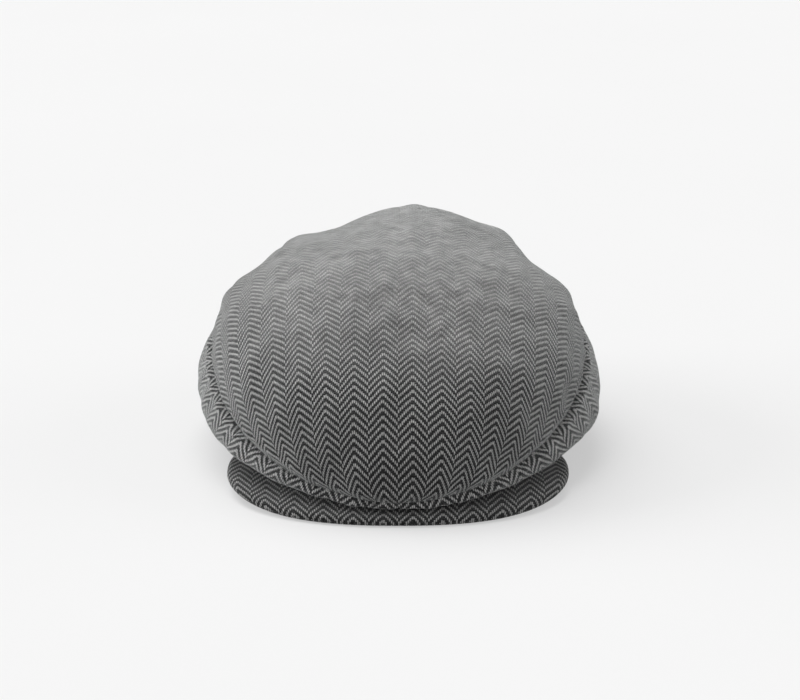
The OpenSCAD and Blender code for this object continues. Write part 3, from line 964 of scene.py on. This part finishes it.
def build_band():
    angles = round_angles(BAND_COLUMNS)
    band = swept_ring("ribbed_sweatband", rounded_loop(BAND_IN, BAND_T, 0.0, BAND_H), angles, GROSGRAIN)
    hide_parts("sweatband")
    turn_with_visor(band)
    binding_loop = rounded_loop(BINDING_IN, BINDING_T, BINDING_LOW, BINDING_LOW + BINDING_HEIGHT)
    binding = swept_ring("hem_tape", binding_loop, angles, BINDING)
    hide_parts("hem_binding")
    turn_with_visor(binding)
    a = TURN * (np.arange(BAND_STITCHES) + 0.5) / BAND_STITCHES
    inside = BAND_IN + BAND_T + STITCH_RADIUS - STITCH_SUNK
    middles = hem_curve(a, inside) + UP * STITCH_HEIGHT
    along = hem_curve(a + 0.02, inside) - hem_curve(a - 0.02, inside)
    stitches = threads("sweatband_seam", middles, along, STITCH_LENGTH, STITCH_RADIUS, THREAD)
    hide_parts("sweatband_stitches")
    turn_with_visor(stitches)
    return band, binding


def ribbon_patch(name, node, inside, first, last, low, high):
    """A small patch of ribbon that follows the sweatband, with its ends folded over."""
    a = np.radians(np.linspace(first, last, 25))
    rise = np.linspace(high, low, 25)
    height, angle = grid(rise, a)
    from_end = np.minimum(angle - a[0], a[-1] - angle) * HEM_L
    fold = FOLD_RISE * ease(1 - np.abs(from_end - FOLD_FROM_END) / FOLD_WIDTH)
    outer = hem_curve(angle, inside) + UP * height[..., None]
    facing = outward(angle)
    inner = outer - facing * (RIBBON_T + fold)[..., None]
    weave = np.stack([lengths_along(outer, 1), height], -1)
    piece = shell(name, outer, inner, weave, LABEL)
    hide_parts(node)
    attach(piece, "crown")
    return piece


sweatband, hem_tape = build_band()
label = ribbon_patch("blank_label", "woven_label", BAND_IN + BAND_T + LABEL_GAP, 170, 190, 9, 25)
tab = ribbon_patch("blank_size_tab", "size_tab", BAND_IN - TAB_GAP - RIBBON_T, 139, 147,
                   BAND_H - 8, BAND_H + 7)


# ---------- Visor ----------

RIM = 3.0
# The visor's cloth is pulled over the board, which opens its weave from hem to edge.
VISOR_EASE = 0.75
VISOR_WAVE, WAVE_SIZE = 0.25, 45
# Share of the visor's half angle that its covers span, and how closely rows crowd to its edge.
VISOR_SPAN, EDGE_CROWDING = 0.99, 1.8
INNER_SHORT, MIDDLE_GAP = 1.2, 0.05


def visor_edge(a):
    power = 2 / VISOR_SQUARE
    b = a * VISOR_TURN / VISOR_HEM_ANGLE
    x = VISOR_W * np.sign(b) * np.abs(np.sin(b)) ** power
    y = -VISOR_MID - (VISOR_FRONT - VISOR_MID) * np.sign(np.cos(b)) * np.abs(np.cos(b)) ** power
    return np.stack([x, y, VISOR_T - EDGE_ROUND + VISOR_RISE * np.sin(b) ** 4], -1)


def visor_face(a, v):
    """Top face of the visor; v runs from 0 at the hem to 1 at the free edge."""
    start = hem_curve(a, -VISOR_GAP) - UP * VISOR_GAP
    v = v[..., None]
    return start * (1 - v) + visor_edge(a) * v


def visor_cover(name, node, upper):
    """One cover of the visor, which rounds over the rim to meet the other at its middle."""
    angles = VISOR_HEM_ANGLE * VISOR_SPAN * np.linspace(-1, 1, 161)
    v, a = grid(1 - np.linspace(1, 0, 44) ** EDGE_CROWDING, angles)
    top = visor_face(a, v)
    reach = lengths_along(top, 0)
    from_edge = reach[-1] - reach
    share = np.clip(1 - from_edge / RIM, 0, 1)
    sink = VISOR_T / 2 * (1 - np.sqrt(1 - share ** 2))
    wave = VISOR_WAVE * soft_noise(top, WAVE_SIZE, 9) * ease(from_edge / 12) * ease(reach / 8)
    outer_sink, inner_sink = sink - wave, np.minimum(sink + COVER_T, VISOR_T / 2 - MIDDLE_GAP)
    if not upper:
        outer_sink, inner_sink = VISOR_T - outer_sink, VISOR_T - inner_sink
    inner_v = v * (1 - INNER_SHORT / np.maximum(reach[-1], 1)[None])
    outer = top - UP * outer_sink[..., None]
    inner = visor_face(a, inner_v) - UP * inner_sink[..., None]
    run = np.gradient(visor_edge(angles), axis=0)
    facing = unit(np.stack([run[:, 1], -run[:, 0]], -1))[None]
    flat = top[..., :2] + facing * sink[..., None]
    weave = np.stack([flat[..., 0], -VISOR_EASE * flat[..., 1]], -1)
    piece = shell(name, outer, inner, weave, VISOR_TWEED_PAINTED_SHADE)
    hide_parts(node)
    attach(piece, "visor")
    return piece


upper_cover = visor_cover("visor_cloth_upper", "visor_upper_cover", True)
under_cover = visor_cover("visor_cloth_under", "visor_under_cover", False)


# ---------- CAD parts that keep their shape ----------

def finish_node(node, material):
    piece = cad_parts[node]
    piece.data.materials.clear()
    piece.data.materials.append(material)


SNAP_METAL = metal("blackened_metal", grey(0.03), grey(0.09), 0.3)
SPRING_METAL = metal("spring_wire", grey(0.45), grey(0.6), 0.22)
finish_node("visor_board", board())
finish_node("snap_socket", SNAP_METAL)
finish_node("snap_stud", SNAP_METAL)
finish_node("snap_spring", SPRING_METAL)
finish_node("snap_socket_stitches", DARK_THREAD)
finish_node("snap_stud_stitches", DARK_THREAD)


# ---------- Floor, light and camera ----------

FLOOR_HALF = 20000.0
FLOOR_GAP = 0.2
WORLD_STRENGTH = 0.27
# Far, wide lights: the side they shine from, their width in degrees, and their strength.
LIGHTS = {
    "overhead": ((-0.45, 0.95, 1.5), 55, 2.3),
    "left_rim": ((-1.5, 0.35, 0.4), 45, 2.2),
    "right_rim": ((1.5, 0.3, 0.5), 45, 0.8),
    "front_low": ((0.1, -1.5, 0.12), 40, 0.5),
}


def build_stage():
    half, low = FLOOR_HALF, cad_box[0][2] / MM - FLOOR_GAP
    corners = [(-half, -half, low), (half, -half, low), (half, half, low), (-half, half, low)]
    floor = make_mesh("floor", corners, [(0, 1, 2, 3)], None, floor_finish())
    floor.visible_diffuse = False
    world = bpy.data.worlds.new("studio")
    bpy.context.scene.world = world
    world.use_nodes = True
    background = world.node_tree.nodes["Background"]
    background.inputs["Color"].default_value = (1, 1, 1, 1)
    background.inputs["Strength"].default_value = WORLD_STRENGTH


def soft_light(name, place, spread, strength):
    light = bpy.data.lights.new(name, "SUN")
    light.angle, light.energy = math.radians(spread), strength
    lamp = bpy.data.objects.new(name, light)
    bpy.context.scene.collection.objects.link(lamp)
    lamp.location = place
    lamp.rotation_euler = (-Vector(place)).to_track_quat("-Z", "Y").to_euler()


CAMERA_TARGET = (0.0, -0.021, 0.0525)
CAMERA_DISTANCE = 1.155
CAMERA_ELEVATION = math.radians(18)
CAMERA_SHIFT = (0.0025, -0.00625)
CLIP_END = 100
SENSOR_WIDTH = 36
LENS = SENSOR_WIDTH * 2145 / 800


def build_camera():
    data = bpy.data.cameras.new("camera")
    data.sensor_width, data.lens = SENSOR_WIDTH, LENS
    data.shift_x, data.shift_y = CAMERA_SHIFT
    data.clip_end = CLIP_END
    camera = bpy.data.objects.new("camera", data)
    bpy.context.scene.collection.objects.link(camera)
    back, rise = math.cos(CAMERA_ELEVATION), math.sin(CAMERA_ELEVATION)
    target = Vector(CAMERA_TARGET)
    camera.location = target + Vector((0, -back, rise)) * CAMERA_DISTANCE
    camera.rotation_euler = (target - camera.location).to_track_quat("-Z", "Y").to_euler()
    bpy.context.scene.camera = camera


build_stage()
for light_name, settings in LIGHTS.items():
    soft_light(light_name, *settings)
build_camera()
bpy.context.scene.view_settings.view_transform = "Standard"
